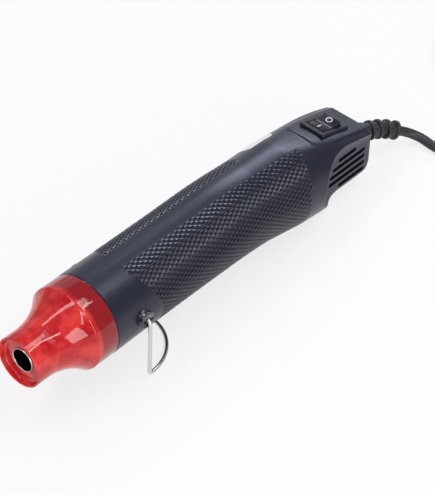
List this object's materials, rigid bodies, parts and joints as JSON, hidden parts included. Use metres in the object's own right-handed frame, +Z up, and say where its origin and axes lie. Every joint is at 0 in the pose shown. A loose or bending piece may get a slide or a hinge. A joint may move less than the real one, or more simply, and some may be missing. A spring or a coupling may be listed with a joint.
{
  "type": "embossing heat tool",
  "caption": "Hand-held embossing heat tool with a flared nozzle guard, a rocker switch, a folding wire stand and a coiled mains cord.",
  "frame": {"origin": "middle of the footprint of the tool without its cord, on the table it rests on", "axes": "+X along the tool toward the nozzle, +Y to the tool's left side, +Z up from the table"},
  "size_m": [0.3951, 0.0716, 0.0555],
  "materials": {
    "housing": "fine spark-eroded texture",
    "guard": "clear tinted, polished",
    "nozzle_steel": "satin",
    "mica": "layered mica sheet",
    "ceramic": "fired ceramic",
    "resistance_wire": "oxidised wire",
    "inner_plastic": "moulded",
    "motor_steel": "plated",
    "motor_cap": "moulded nylon",
    "screw_steel": "zinc plated",
    "board": "coated board",
    "diode": "epoxy",
    "switch_black": "moulded, slight sheen",
    "terminal_brass": "plain",
    "plug_brass": "plated",
    "lead_red": "silicone sleeve",
    "lead_brown": "PVC sleeve",
    "cord_black": "satin PVC",
    "stand_wire": "bright plated wire"
  },
  "bodies": {
    "tool": {"left_shell": "housing", "right_shell": "housing", "nozzle_guard": "guard", "nozzle_tube": "nozzle_steel", "mica_sleeve": "mica", "mica_card_upright": "mica", "mica_card_flat": "mica", "element_base": "ceramic", "heating_coil": "resistance_wire", "thermal_cutout": "ceramic", "air_duct": "inner_plastic", "motor_case": "motor_steel", "motor_end_cap": "motor_cap", "motor_mount": "inner_plastic", "motor_screws": "screw_steel", "rectifier_board": "board", "diodes": "diode", "switch_case": "switch_black", "switch_terminals": "terminal_brass", "heater_leads": "lead_red", "mains_leads": "lead_brown", "cord_clamp": "inner_plastic", "clamp_screws": "screw_steel", "case_screws": "screw_steel", "strain_relief": "cord_black", "cord_tail": "cord_black", "cord_lead": "cord_black", "cord_coil": "cord_black", "cord_end": "cord_black", "plug_body": "cord_black", "plug_blades": "plug_brass"},
    "stand": {"wire_stand": "stand_wire"},
    "rocker": {"switch_rocker": "switch_black"},
    "rotor": {"fan_wheel": "inner_plastic", "motor_shaft": "motor_steel"}
  },
  "joints": [
    {"name": "stand_fold", "type": "hinge", "parent": "tool", "child": "stand", "pos_m": [0.05551, 0, 0.03378], "axis": [0, 1, 0], "range_deg": [-90, 15]},
    {"name": "rocker_tilt", "type": "hinge", "parent": "tool", "child": "rocker", "pos_m": [-0.09378, 0, 0.03798], "axis": [0, 1, 0], "range_deg": [-20, 0]},
    {"name": "fan_spin", "type": "hinge", "parent": "tool", "child": "rotor", "pos_m": [0.00157, 0, 0.03122], "axis": [0.9994, 0, 0.0345], "continuous": true}
  ]
}
